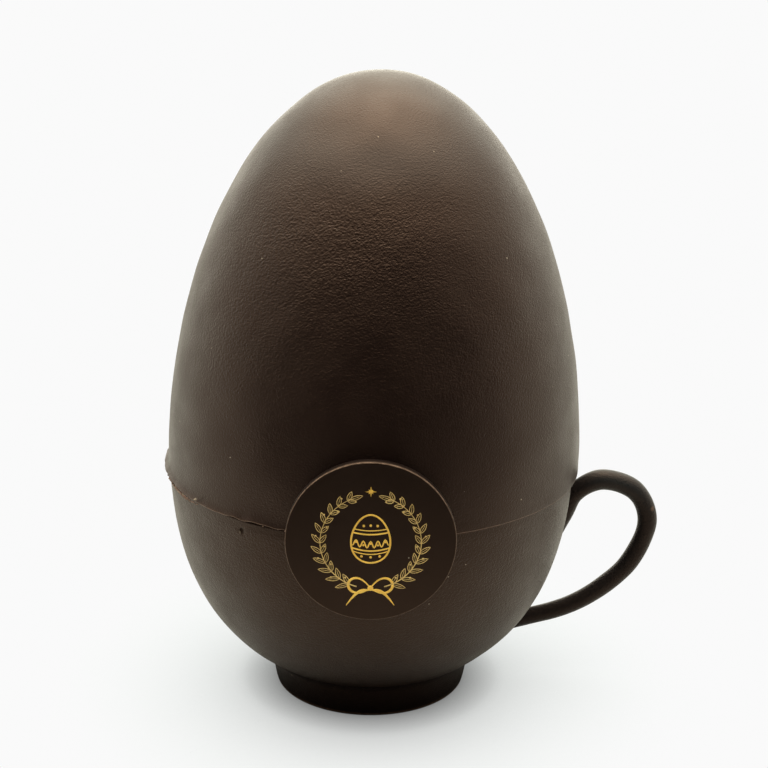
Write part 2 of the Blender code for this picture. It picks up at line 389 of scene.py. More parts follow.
def chocolate(name, dark, light, roughness, grain_depth, grain_spacing=0.66 * MM, stretch=1.3,
              speck_share=0.3, rubbed=RUBBED_AND_REFLECTION_BROWN, shine=0.5, fine_share=0.6,
              with_nick_and_reflection=False):
    """Satin dark chocolate: drifting browns, a grey painted sheen where the mesh marks it, rubbed
    edges, pale specks and mould grain. Where asked, the nick is darkened as painted shade in its
    pit and the handle gets a painted reddish reflection."""
    material = bpy.data.materials.new(name)
    material.use_nodes = True
    tree = material.node_tree
    tree.nodes.clear()
    place = put(tree, "TexCoord").outputs["Object"]
    rubbed_mark = put(tree, "Attribute", attribute_name="rubbed").outputs["Fac"]
    grain_mark = put(tree, "Attribute", attribute_name="grain").outputs["Fac"]
    bloom = put(tree, "Attribute", attribute_name="bloom").outputs["Fac"]

    colour = use(tree, COCOA_DRIFT, Vector=place, Dark=dark, Light=light)["Color"]
    # Grey painted sheen: stands in for the greyer reflection on the crown and the handle.
    colour = blend(tree, bloom, colour, PAINTED_SHEEN_GREY)
    edge = use(tree, RUBBED_EDGE, Vector=place, Mark=rubbed_mark)["Mask"]
    colour = blend(tree, edge, colour, rubbed)
    specks = use(tree, BLOOM_SPECKS, Vector=place, Share=speck_share)["Mask"]
    colour = blend(tree, specks, colour, PALE_CRUMB)
    height = use(tree, MOULD_GRAIN, Vector=place, Spacing=grain_spacing,
                 Stretch=stretch)["Height"]
    fine = use(tree, MOULD_GRAIN, Vector=place, Spacing=FINE_SPACING, Stretch=1.0)["Height"]
    height = maths(tree, "MULTIPLY_ADD", height, grain_mark,
                   maths(tree, "MULTIPLY", fine, fine_share))
    rough = use(tree, GLOSS_DRIFT, Vector=place, Low=roughness - 0.03,
                High=roughness + 0.04)["Roughness"]
    rough = maths(tree, "ADD", rough, maths(tree, "MULTIPLY", edge, 0.15), clamp=True)
    if with_nick_and_reflection:
        nick = use(tree, NICK_AND_REFLECTION_SPOT, Vector=place, Middle=NICK[0], Half_Size=NICK[1])["Mask"]
        nick_and_reflection_spot = use(tree, NICK_AND_REFLECTION_SPOT, Vector=place, Middle=HANDLE_REFLECTION[0],
                    Half_Size=HANDLE_REFLECTION[1])["Mask"]
        # The nick's pit is darkened: painted shade, over its real dent and bump.
        colour = blend(tree, nick, colour, (0.004, 0.002, 0.0015, 1))
        # Painted reddish reflection on the handle's outer side, in the rubbed brown.
        colour = blend(tree, maths(tree, "MULTIPLY", nick_and_reflection_spot, 0.35), colour, rubbed)
        height = maths(tree, "MULTIPLY_ADD", nick, -2.0, height)
        rough = maths(tree, "MULTIPLY_ADD", nick, 0.5, rough, clamp=True)
    bump = put(tree, "Bump", {"Height": height, "Distance": grain_depth, "Strength": 1.0})
    shader = put(tree, "BsdfPrincipled", {"Base Color": colour, "Roughness": rough,
                                          "IOR": CHOCOLATE_IOR, "Specular Tint": CHOCOLATE_SHEEN,
                                          "Specular IOR Level": shine,
                                          "Normal": bump.outputs[0]})
    end = tree.nodes.new("ShaderNodeOutputMaterial")
    tree.links.new(shader.outputs[0], end.inputs["Surface"])
    return material


def gold_print(name, dark, light):
    """Gold print: warm mica paint, slightly metallic, a little uneven in depth and gloss."""
    material = bpy.data.materials.new(name)
    material.use_nodes = True
    tree = material.node_tree
    tree.nodes.clear()
    place = put(tree, "TexCoord").outputs["Object"]
    colour = use(tree, COCOA_DRIFT, Vector=place, Spacing=6 * MM, Dark=dark,
                 Light=light)["Color"]
    gloss = use(tree, GLOSS_DRIFT, Vector=place, Spacing=0.5 * MM, Low=0.38, High=0.55)
    bump = put(tree, "Bump", {"Height": gloss["Height"], "Distance": 0.01 * MM})
    shader = put(tree, "BsdfPrincipled", {"Base Color": colour, "Roughness": gloss["Roughness"],
                                          "Metallic": 0.1, "Normal": bump.outputs[0]})
    end = tree.nodes.new("ShaderNodeOutputMaterial")
    tree.links.new(shader.outputs[0], end.inputs["Surface"])
    return material


# ---------------------------------------------------------------- the egg's two halves

def rim_height(turn):
    """Height of the upper half's lower edge: level, with a rise at the left and slow waves."""
    left = angle_off(turn, math.pi)
    waves = np.sin(3 * turn + 0.7) + 0.6 * np.sin(7 * turn + 2.0) + 0.4 * np.sin(13 * turn)
    return SEAM_HEIGHT + SEAM_RISE * hump(left, 0, SEAM_RISE_SPREAD) + SEAM_WAVE * waves / 2


def seam_gap(turn):
    """How far the seam stands open: nearly shut, but open along a stretch at the front left."""
    off = angle_off(turn, OPENING_MIDDLE)
    ragged = 1 + 0.35 * np.sin(41 * turn) + 0.25 * np.sin(67 * turn + 1.0)
    return SEAM_GAP + SEAM_OPENING * ragged * hump(off, 0, OPENING_SPREAD)


def lip_reach(turn):
    """How far the lip stands out: the plate's offset towards the left, less its set-back, with
    a ragged edge."""
    left = angle_off(turn, math.pi)
    ragged = 0.05 * np.sin(23 * turn) + 0.04 * np.sin(47 * turn + 1.3) + 0.03 * np.sin(90 * turn)
    reach = LIP_REACH * np.cos(left) - LIP_SETBACK
    reach = np.where(reach > 0, reach, 0)
    return reach * (1 + ragged) + 0.06 * MM * smooth(np.cos(left), -0.2, 0.3)


def shell_share(rows, edge_rows, edge_share):
    """Row places from 0 to 1, close together over the last edge_share."""
    start = np.linspace(0, 1 - edge_share, rows + 1)[1:-1]
    return np.concatenate([start, np.linspace(1 - edge_share, 1, edge_rows)])[:, None]


def close_rim(wall, round_off, down, middle):
    """Rings that shut a wall's last ring: a quarter circle of radius round_off, then a flat
    end drawn in to the middle height."""
    last = wall[-1]
    radial = last * np.array([1.0, 1.0, 0.0])
    radial /= np.linalg.norm(radial, axis=-1, keepdims=True)
    turnings = np.linspace(0, math.pi / 2, 6)[1:, None, None]
    edge = last - radial * round_off * (1 - np.cos(turnings))
    edge[..., 2] -= down * round_off * np.sin(turnings[..., 0])
    shares = np.array([0.93, 0.6, 0.2])[:, None, None]
    flat = edge[-1] * shares
    flat[..., 2] = edge[-1, :, 2] * shares[..., 0] + middle * (1 - shares[..., 0])
    return np.concatenate([wall, edge, flat])


def tilted(points, tilt, pivot_x, pivot_z):
    """Points turned about the Y axis through the pivot."""
    x, y, z = points[..., 0] - pivot_x, points[..., 1], points[..., 2] - pivot_z
    c, s = math.cos(tilt), math.sin(tilt)
    return np.stack([pivot_x + x * c + z * s, y, pivot_z - x * s + z * c], -1)


def grain_strength(points):
    """Where the mould grain is strong: front left and back, weak on the crown and low right."""
    x, y, z = np.moveaxis(points, -1, 0)
    crown = 1 - smooth(z, 132 * MM, 162 * MM)
    side = 0.25 + 0.75 * hump(x, -12 * MM, 30 * MM)
    low = 0.35 + 0.65 * smooth(z, 80 * MM, 108 * MM)
    patchy = 1 + 0.25 * ripples(points, 45 * MM, 1.3, 5, 24)
    return np.clip(0.12 + 0.95 * crown * side * low * patchy, 0.05, 1.3)


def make_egg_top(material):
    """The upper half: the egg curve turned about Z from its crown to the wavy rim, moved in
    and out by broad ripples and by the lip, then tilted."""
    radius, height, run = egg_curve(TOP_SCALE)
    edge_radius = EGG_RADIUS * TOP_SCALE
    rim = rim_height(TURN) + seam_gap(TURN)
    rim_inside = SEAM_HEIGHT + (rim - SEAM_HEIGHT) + edge_radius * np.cos(TURN) * TOP_TILT
    last_run = np.interp(-(rim_inside + TOP_RIM_ROUND), -height, run)
    place = shell_share(200, 22, 0.03) * last_run
    rings = around(np.interp(place, run, radius), np.interp(place, run, height))

    normal = outward(rings)
    above = rings[..., 2] - rim_inside
    strength = grain_strength(rings)
    calm = smooth(above, 0.5 * MM, 3 * MM)
    wide = ripples(rings, 3.2 * MM, 1.7, 11) * 0.010 * MM
    broad = ripples(rings, 14 * MM, 1.3, 12, 32) * 0.045 * MM
    rings = rings + normal * ((wide * strength + broad) * calm - 0.06 * MM * calm)[..., None]

    section = (0.6 * np.clip(1 - above / LIP_BRIM, 0, 1) ** 2.2
               + 0.4 * np.clip(1 - above / LIP_TALL, 0, 1) ** 2.2)
    lip = lip_reach(TURN)
    radial = normal * np.array([1.0, 1.0, 0.0])
    radial /= np.linalg.norm(radial, axis=-1, keepdims=True)
    rings = rings + radial * (lip * section)[..., None]

    wall_rows = len(rings)
    rings = close_rim(rings, TOP_RIM_ROUND, 1, SEAM_HEIGHT + 0.2 * MM)
    rings = tilted(rings + np.array([TOP_SHIFT, 0, 0]), TOP_TILT, TOP_SHIFT, SEAM_HEIGHT)

    low = np.zeros(rings.shape[:2])
    low[:wall_rows] = 1 - smooth(above, 0.0, 0.22 * MM + 0.25 * lip)
    low[wall_rows:wall_rows + 3] = 0.8
    low *= 1 - 0.9 * hump(angle_off(TURN, math.radians(198)), 0, math.radians(20))
    grain = np.zeros(rings.shape[:2])
    grain[:wall_rows] = strength * calm
    x, y, z = np.moveaxis(rings, -1, 0)
    # Painted sheen: grey on the front of the crown, where the overhead light's reflection lies.
    bloom = 0.38 * hump(z, 152 * MM, 7 * MM) * hump(x, 0, 26 * MM) * (1 - smooth(y, -12 * MM, 0))
    return piece("egg_top_shell",
                 [skin(rings, rubbed=np.clip(low, 0, 1), grain=grain, bloom=bloom)],
                 material, "egg_top")


def make_cup_bowl(material):
    """The cup: the lower part of the egg curve turned about Z, from its rounded rim under the
    seam down to the closed bottom."""
    radius, height, run = egg_curve(BOWL_SCALE)
    rim = rim_height(TURN) - 0.02 * MM
    first_run = np.interp(-(rim - CUP_RIM_ROUND), -height, run)
    place = 1 - shell_share(150, 12, 0.03)
    place = first_run + (run[-1] - first_run) * place
    rings = around(np.interp(place, run, radius), np.interp(place, run, height))

    normal = -outward(rings)
    below = rim - rings[..., 2]
    calm = smooth(below, 0.5 * MM, 3 * MM)
    wide = ripples(rings, 3.6 * MM, 1.4, 21) * 0.006 * MM
    broad = ripples(rings, 16 * MM, 1.3, 22, 32) * 0.040 * MM
    off = np.linalg.norm((rings - NICK[0]) / NICK[1], axis=-1)
    dent = 0.3 * MM * (1 - smooth(off, 0.2, 1.5))
    rings = rings + normal * ((wide + broad) * calm - dent)[..., None]
    wall_rows = len(rings)
    rings = close_rim(rings, CUP_RIM_ROUND, -1, SEAM_HEIGHT - 0.2 * MM)

    rubbed = np.zeros(rings.shape[:2])
    right = smooth(np.cos(TURN), -0.1, 0.4)
    rubbed[:wall_rows] = 0.35 * right * (1 - smooth(below, 0.4 * MM, 0.7 * MM))
    rubbed[wall_rows:] = 0.35 * right
    grain = np.zeros(rings.shape[:2])
    grain[:wall_rows] = 0.55 * calm
    return piece("cup_bowl_shell", [skin(rings, rubbed=rubbed, grain=grain)],
                 material, "cup_bowl")


# ---------------------------------------------------------------- foot and handle

def along(points, per_stretch):
    """Catmull-Rom curve through the points, with per_stretch places between each two."""
    knots = np.concatenate([2 * points[:1] - points[1:2], points, 2 * points[-1:] - points[-2:-1]])
    u = np.linspace(0, 1, per_stretch, endpoint=False)[None, :, None]
    a, b, c, d = (knots[i:len(knots) - 3 + i, None] for i in range(4))
    curve = (2 * b + (c - a) * u + (2 * a - 5 * b + 4 * c - d) * u**2
             + (3 * b - a - 3 * c + d) * u**3) / 2
    return np.concatenate([curve.reshape(-1, points.shape[1]), points[-1:]])


def make_cup_foot(material):
    """The foot: a profile that leaves the bowl's side in a small hollow and leans in a little
    on its way down to the flat base, turned about Z."""
    radius, height, _ = egg_curve(BOWL_SCALE)
    heights = np.array([10.9, 10.3, 9.9]) * MM
    wall = np.interp(heights, height[::-1], radius[::-1])
    knots = np.array([
        (wall[0] - 3.0 * MM, heights[0]),
        (wall[0] - 0.5 * MM, heights[0]),
        (wall[1] - 0.05 * MM, heights[1]),
        (wall[2] + 0.0 * MM, heights[2]),
        (FOOT_RADIUS + 0.65 * MM, 9.0 * MM),
        (FOOT_RADIUS + 0.2 * MM, 8.0 * MM),
        (FOOT_RADIUS + 0.0 * MM, 6.8 * MM),
        (FOOT_RADIUS - 0.4 * MM, 4.6 * MM),
        (FOOT_BASE_RADIUS + 0.55 * MM, 2.2 * MM),
        (FOOT_BASE_RADIUS + 0.25 * MM, 0.8 * MM),
        (FOOT_BASE_RADIUS + 0.05 * MM, 0.2 * MM),
        (FOOT_BASE_RADIUS - 0.3 * MM, 0.0),
    ])
    profile = np.concatenate([along(knots, 7), [(20 * MM, 0.0), (6 * MM, 0.0)]])
    rings = around(profile[:, :1], profile[:, 1:])
    normal = outward(rings)
    free = smooth(rings[..., 2], 0.2 * MM, 2 * MM)
    rings = rings + normal * (ripples(rings, 7 * MM, 2.0, 31, 32) * 0.03 * MM * free)[..., None]
    base_edge = hump(rings[..., 2], 0.45 * MM, 0.35 * MM)
    return piece("cup_foot_ring", [skin(rings, rubbed=0.5 * base_edge, grain=0.35 * free)],
                 material, "cup_foot")


def tube(route, radius, steps, sideways):
    """Rings round a route: the centre plus the radius times a circle across the route, whose
    first axis is sideways crossed with the route and whose second is sideways."""
    heading = np.gradient(route, axis=0)
    heading /= np.linalg.norm(heading, axis=1)[:, None]
    across = np.cross(np.broadcast_to(sideways, heading.shape), heading)
    turn = np.linspace(0, math.tau, steps, endpoint=False)[None, :, None]
    return route[:, None] + radius[:, None, None] * (
        np.cos(turn) * across[:, None] + np.sin(turn) * np.asarray(sideways))


def make_cup_handle(material):
    """The handle: a round tube along the ear's route, its ends run into the wall, where it
    swells a little."""
    route = along(HANDLE_KNOTS, 16)
    centre = np.stack([route[:, 0], 0 * route[:, 0], route[:, 1]], -1)
    radius, height, _ = egg_curve(BOWL_SCALE)
    wall = np.interp(route[:, 1], height[::-1], radius[::-1])
    clear = np.maximum(route[:, 0] - wall, 0)
    swell = 0.5 * MM * np.exp(-clear / (1.6 * MM)) - 0.1 * MM
    rings = tube(centre, route[:, 2] + swell, 40, (0.0, 1.0, 0.0))
    normal = rings - centre[:, None]
    normal /= np.linalg.norm(normal, axis=-1, keepdims=True)
    lumps = ripples(rings, 9 * MM, 1.0, 41, 32) * 0.035 * MM
    rings = rings + normal * lumps[..., None]
    x, z = rings[..., 0], rings[..., 2]
    # Painted sheen: a little grey over the whole handle and more along the top of its arc, for its
    # reflections.
    bloom = 0.15 + 0.25 * smooth(z, 48 * MM, 60 * MM) * smooth(x, 56 * MM, 64 * MM)
    return piece("cup_handle_ear", [skin(rings, rubbed=0.0, grain=0.4, bloom=bloom)],
                 material, "cup_handle")


# ---------------------------------------------------------------- plaque

FACING = np.array([0.0, -math.cos(PLAQUE_TILT), -math.sin(PLAQUE_TILT)])
PLAQUE_UP = np.array([0.0, -math.sin(PLAQUE_TILT), math.cos(PLAQUE_TILT)])
PLAQUE_MIDDLE = np.array([0.0, -(PLAQUE_BACK + PLAQUE_THICKNESS / 2), PLAQUE_HEIGHT])


def on_plaque(across, up, out):
    """Points given across and up the plaque's front and out from it."""
    front = PLAQUE_MIDDLE + FACING * PLAQUE_THICKNESS / 2
    across, up, out = np.broadcast_arrays(across, up, out)
    return (front + across[..., None] * np.array([1.0, 0, 0]) + up[..., None] * PLAQUE_UP
            + out[..., None] * FACING)


def make_plaque(material):
    """The plaque: a disc's profile, from the middle of its front over a rounded edge to the
    middle of its back, turned about the plaque's axis."""
    turns = np.linspace(0, math.pi / 2, 5)
    front = np.linspace(0.06, 0.985, 24) * (PLAQUE_RADIUS - PLAQUE_EDGE)
    front = np.append(front, PLAQUE_RADIUS - PLAQUE_EDGE - 0.05 * MM)
    bend = PLAQUE_RADIUS - PLAQUE_EDGE + PLAQUE_EDGE * np.sin(turns)
    radius = np.concatenate([front, bend, np.full(4, PLAQUE_RADIUS), bend[::-1], [0.6 * PLAQUE_RADIUS, 0.1 * PLAQUE_RADIUS]])
    out = np.concatenate([0 * front, -PLAQUE_EDGE * (1 - np.cos(turns)),
                          np.array([-0.3, -0.6, -1.0, -1.5]) * MM,
                          -PLAQUE_THICKNESS + PLAQUE_EDGE * (1 - np.cos(turns[::-1])),
                          [-PLAQUE_THICKNESS] * 2])
    turn = np.linspace(0, math.tau, 240, endpoint=False)
    wobble = 1 + 0.0012 * np.sin(3 * turn + 1) + 0.0008 * np.sin(8 * turn)
    across = radius[:, None] * np.cos(turn) * wobble
    up = radius[:, None] * np.sin(turn) * wobble
    rings = on_plaque(across, up, out[:, None])
    uneven = ripples(rings, 11 * MM, 1.0, 51, 24) * 0.012 * MM
    rings = rings - FACING * np.abs(uneven)[..., None]
    worn = (0.11 + 0.38 * smooth(np.sin(turn), 0.3, 0.9)) * MM
    edge = hump(out[:, None] + 0 * turn, -0.09 * MM, worn) * (
        radius[:, None] > PLAQUE_RADIUS - PLAQUE_EDGE - 0.02 * MM)
    return piece("plaque_disc", [skin(rings, rubbed=edge, grain=0.25)],
                 material, "plaque")


# ---------------------------------------------------------------- gilded ornament

GILT_RISE = 0.05 * MM
WREATH_RADIUS = 12.2
STEM_START, STEM_END = math.radians(-74), math.radians(66)


def gilded(line, width):
    """A flat gilded stroke: an ellipse GILT_RISE high and as wide as the width, carried along
    a line of (across, up) places. Line and width are in millimetres."""
    line = np.asarray(line, float) * MM
    width = np.maximum(np.broadcast_to(width, len(line)), 0.03)[:, None] * MM
    heading = np.gradient(line, axis=0)
    heading /= np.maximum(np.linalg.norm(heading, axis=1)[:, None], 1e-9)
    turn = np.linspace(0, math.tau, 8, endpoint=False)
    side = np.cos(turn) * width / 2
    across = line[:, :1] - heading[:, 1:] * side
    up = line[:, 1:] + heading[:, :1] * side
    return skin(on_plaque(across, up, GILT_RISE * np.sin(turn) * (width > 0.05 * MM)))


def bead(middle, radius):
    """A round dot: a short stroke whose width is that of the circle at each place."""
    place = np.linspace(-0.99, 0.99, 9)
    line = np.stack([middle[0] + radius * place, middle[1] + 0 * place], -1)
    return gilded(line, 2 * radius * np.sqrt(1 - place**2))


def leaf(base, heading, length, width):
    """A leaf drawn as its outline and midrib: the half width rises from the base and falls to
    the point, s^0.75 (1 - s), and the outline runs out along one side and back on the other."""
    out = np.linspace(0, 1, 12)
    half = 1.75 * width * out**0.75 * (1 - out)
    along_leaf = np.concatenate([out, out[-2::-1]])
    beside = np.concatenate([half, -half[-2::-1]])
    ahead = np.array([math.cos(heading), math.sin(heading)])
    left = np.array([-ahead[1], ahead[0]])
    outline = base + length * along_leaf[:, None] * ahead + beside[:, None] * left
    rib = base + length * np.linspace(0, 0.75, 5)[:, None] * ahead
    return [gilded(outline, 0.17), gilded(rib, 0.11)]


def make_wreath(material):
    """Two sprigs that curve up from the bow: a stem on an arc, pairs of leaves turned out and
    in from it, berries between them and a leaf at the tip."""
    skins = []
    for sign in (1, -1):
        turn = np.linspace(STEM_START, STEM_END, 60)
        stem = WREATH_RADIUS * np.stack([sign * np.cos(turn), np.sin(turn)], -1)
        skins.append(gilded(stem, np.linspace(0.30, 0.14, 60)))
        for n, at in enumerate(np.linspace(STEM_START + 0.16, STEM_END - 0.05, 11)):
            base = WREATH_RADIUS * np.array([math.cos(at), math.sin(at)])
            size = 3.5 - 0.10 * n
            for lean, reach in ((-0.72, 1.0), (0.62, 0.86)):
                heading = at + math.pi / 2 + lean
                if sign < 0:
                    heading = math.pi - heading
                skins += leaf(base * (sign, 1), heading, size * reach, 0.98)
            berry = (WREATH_RADIUS + (1.15 if n % 2 else -1.0)) * np.array(
                [math.cos(at + 0.14), math.sin(at + 0.14)])
            skins.append(bead(berry * (sign, 1), 0.24))
        tip = stem[-1]
        heading = STEM_END + math.pi / 2 + 0.1
        skins += leaf(tip, heading if sign > 0 else math.pi - heading, 3.2, 0.95)
    return piece("gilded_wreath", skins, material)


def make_gilded_egg(material):
    """A small banded egg inside the wreath, with a bow under it where the sprigs cross."""
    turn = np.linspace(0, math.tau, 64)
    half_wide, half_tall, middle = 4.7, 6.3, 0.9

    def half_width(up):
        c = np.clip((up - middle) / half_tall, -1, 1)
        return half_wide * np.sqrt(1 - c * c) * (1 - 0.14 * c)

    c = np.cos(turn)
    outline = np.stack([half_wide * np.sin(turn) * (1 - 0.14 * c), middle + half_tall * c], -1)
    skins = [gilded(outline, 0.46)]
    across = np.linspace(-1, 1, 41)
    for level, sag, width in ((3.6, 0.55, 0.26), (2.7, 0.65, 0.40), (-1.4, 0.85, 0.40),
                              (-2.3, 0.85, 0.26)):
        reach = half_width(level - sag / 2)
        line = np.stack([reach * across, level - sag * (1 - across**2)], -1)
        skins.append(gilded(line, width))
    reach = half_width(0.2) - 0.35
    wave = np.stack([reach * across, 0.15 - 0.75 * (1 - across**2)
                     + 0.85 * np.cos(across * 5 * math.pi)], -1)
    skins.append(gilded(wave, 0.34))
    for n in range(-2, 3):
        place = 2 * n / 5
        skins.append(bead((reach * place, 0.15 - 0.75 * (1 - place**2)
                           + (-0.25 if n % 2 else 0.25)), 0.27))
    for place in (-0.52, 0.0, 0.52):
        skins.append(bead((3.2 * place, 4.75 - 0.35 * (1 - place**2) - 0.3 * abs(place)), 0.32))
        skins.append(bead((4.2 * place, -3.9 + 0.9 * place**2), 0.32))

    knot = -12.4
    figure = np.linspace(0, math.tau, 80)
    spin = 1 + np.sin(figure) ** 2
    loops = np.stack([5.4 * np.cos(figure) / spin,
                      knot + 0.3 + 5.6 * np.sin(figure) * np.cos(figure) / spin
                      + 0.8 * np.abs(np.cos(figure))], -1)
    skins.append(gilded(loops, 0.34 + 0.34 * np.abs(np.cos(figure)) ** 3))
    u = np.linspace(0, 1, 30)
    for sign in (1, -1):
        tail = np.stack([sign * (0.3 + 5.6 * u), knot - 0.3 - 3.3 * u + 1.1 * np.sin(3.4 * u)
                         - 0.5 * u * u], -1)
        skins.append(gilded(tail, 0.62 * np.sin(math.pi * u**0.7) + 0.16))
    skins.append(bead((0.0, knot + 0.25), 0.72))
    for angle in np.linspace(0, math.pi, 4, endpoint=False):
        ray = np.linspace(-1, 1, 21)
        reach = 1.35 if angle in (0.0, math.pi / 2) else 0.8
        line = reach * ray[:, None] * np.array([math.cos(angle), math.sin(angle)])
        skins.append(gilded(line + (0.0, 13.2), 0.42 * (1 - np.abs(ray)) ** 0.8))
    return piece("gilded_egg_and_bow", skins, material)


# ---------------------------------------------------------------- dab, crumbs and nick

def make_plaque_dab(material):
    """The melted dab that holds the plaque: a soft-edged disc between its back and the egg,
    whose radius wavers round its turn."""
    turn = np.linspace(0, math.tau, 96, endpoint=False)
    waver = 1 + 0.05 * np.sin(2 * turn + 0.4) + 0.03 * np.sin(5 * turn + 2.0)
    share = np.array([0.15, 0.6, 0.9, 0.99, 1.0, 0.99, 0.93, 0.6, 0.15])[:, None]
    out = np.array([0.10, 0.10, 0.10, 0.05, -0.35, -0.9, -3.4, -3.6, -3.6])[:, None] * MM
    radius = 10.5 * MM * share * waver
    rings = on_plaque(radius * np.cos(turn), radius * np.sin(turn), out - PLAQUE_THICKNESS)
    return piece("plaque_dab", [skin(rings, rubbed=0.1, grain=0.4)], material)


def lump(middle, size, seed):
    """A crumb: a ball whose radius wavers with broad ripples, stretched to its size."""
    size = np.broadcast_to(size, 3)
    turn = np.linspace(0, math.tau, 8, endpoint=False)
    fall = np.linspace(0.4, math.pi - 0.4, 4)[:, None]
    ball = np.stack([np.sin(fall) * np.cos(turn), np.sin(fall) * np.sin(turn),
                     np.cos(fall) + 0 * turn], -1)
    waver = 1 + 0.22 * ripples(ball, 1.3, 1.0, seed, 12)
    return skin(np.asarray(middle) + ball * waver[..., None] * size, rubbed=1.0, grain=0.0)


def on_seam(degrees, radius, height):
    turn = math.radians(degrees)
    return np.array([radius * math.cos(turn), radius * math.sin(turn), height])


def make_seam_crumbs(crumb_material, pale_material):
    """Crumbs pressed out under the lip at the left, a pale one on its edge, and the flake that
    was lifted beside the nick in the cup's wall."""
    draw = np.random.default_rng(7)
    skins = []
    pale = []
    for n, degrees in enumerate(draw.triangular(194, 205, 219, 330)):
        rim = float(rim_height(np.array(math.radians(degrees))))
        fade = 1 - float(smooth(degrees, 208, 218))
        down = draw.uniform(0.15, 0.45 + 1.25 * fade)
        place = on_seam(degrees, (55.70 - 0.5 * down) * MM, rim - down * MM)
        size = draw.uniform(0.08, 0.13 + 0.12 * fade) * MM
        (pale if n % 6 == 0 else skins).append(lump(place, size, 100 + n))
    for n, degrees in enumerate(draw.uniform(219, 262, 14)):
        rim = float(rim_height(np.array(math.radians(degrees))))
        place = on_seam(degrees, 55.3 * MM, rim + draw.uniform(0.25, 0.45) * MM)
        skins.append(lump(place, draw.uniform(0.10, 0.17) * MM, 400 + n))
    piece("seam_crumbs", skins, crumb_material)
    flakes = pale + [
              lump(on_seam(217.9, 56.1 * MM, 65.4 * MM), np.array([0.32, 0.32, 0.26]) * MM, 3),
              lump(on_seam(217.2, 56.1 * MM, 65.1 * MM), np.array([0.24, 0.24, 0.2]) * MM, 4),
              lump(on_seam(206.0, 56.2 * MM, 65.0 * MM), np.array([0.12, 0.12, 0.1]) * MM, 6),
              lump(on_seam(233.4, 54.5 * MM, 60.3 * MM), np.array([0.10, 0.10, 0.5]) * MM, 5)]
    return piece("pale_flakes", flakes, pale_material)


# ---------------------------------------------------------------- floor, lights, camera

FLOOR_HALF = 4.0
# Floor colour for reflections, before its painted shade in front and round the foot.
FLOOR_PALE = 0.40
# Tint of the lit floor that shows through the floor's painted shadow.
FLOOR_SEEN = (0.28, 0.325, 0.345, 1)
OVERHEAD = 7.3
OVERHEAD_AIM = (0.0, 0.13, 0.99)
OVERHEAD_TINT = (1.0, 0.99, 0.82, 1)
WALLS = 1.3
BACK_WALL = 0.5
RIM_LIGHT = 2.5
SIDE_WALLS = 1.0
LEFT_SHADE = 0.25
WALLS_TINT = (1.0, 0.975, 0.83, 1)
WHITE_OUT = 0.955


def make_floor():
    mesh = bpy.data.meshes.new("floor")
    corners = [(-1, -1), (1, -1), (1, 1), (-1, 1)]
    mesh.from_pydata([(x * FLOOR_HALF, y * FLOOR_HALF, 0) for x, y in corners], [],
                     [(0, 1, 2, 3)])
    floor = bpy.data.objects.new("floor", mesh)
    bpy.context.scene.collection.objects.link(floor)
    material = bpy.data.materials.new("floor_white_painted_shadow")
    material.use_nodes = True
    tree = material.node_tree
    tree.nodes.clear()
    # As the camera sees it, the floor glows evenly white; where ambient occlusion finds the egg
    # near, it gives way to a lit floor of the FLOOR_SEEN tint: a painted shadow.
    open_share = put(tree, "AmbientOcclusion", {"Distance": 60 * MM}, samples=16).outputs["AO"]
    seen = put(tree, "BsdfDiffuse", {"Color": FLOOR_SEEN})
    white = put(tree, "Emission", {"Strength": WHITE_OUT})
    share = maths(tree, "MULTIPLY", maths(tree, "POWER", open_share, 0.72), 1.08, clamp=True)
    seen = put(tree, "MixShader", {"Fac": share, 1: seen.outputs[0], 2: white.outputs[0]})
    # Close to the foot it turns into a near-black sheet: a painted contact shadow.
    near = put(tree, "AmbientOcclusion", {"Distance": 12 * MM}, samples=8).outputs["AO"]
    dark = put(tree, "BsdfDiffuse", {"Color": (0.01, 0.01, 0.01, 1)})
    seen = put(tree, "MixShader", {"Fac": maths(tree, "POWER", near, 0.6),
                                   1: dark.outputs[0], 2: seen.outputs[0]})
    # As reflections see it, the floor fades to dark between 7 and 24 cm in front, and is a quarter
    # as bright inside 27 mm of the foot's middle, rising to full at 38 mm: painted shade.
    place = put(tree, "TexCoord").outputs["Object"]
    ahead = put(tree, "SeparateXYZ", {"Vector": place}).outputs["Y"]
    pale = spread(tree, ahead, -0.24, -0.07, 0.03, FLOOR_PALE)
    beside = vectors(tree, "LENGTH", place, result="Value")
    pale = maths(tree, "MULTIPLY", pale, spread(tree, beside, 27 * MM, 38 * MM, 0.25, 1.0))
    plain = put(tree, "BsdfDiffuse", {"Color": pale})
    camera = put(tree, "LightPath").outputs["Is Camera Ray"]
    mix = put(tree, "MixShader", {"Fac": camera, 1: plain.outputs[0], 2: seen.outputs[0]})
    end = tree.nodes.new("ShaderNodeOutputMaterial")
    tree.links.new(mix.outputs[0], end.inputs["Surface"])
    mesh.materials.append(material)


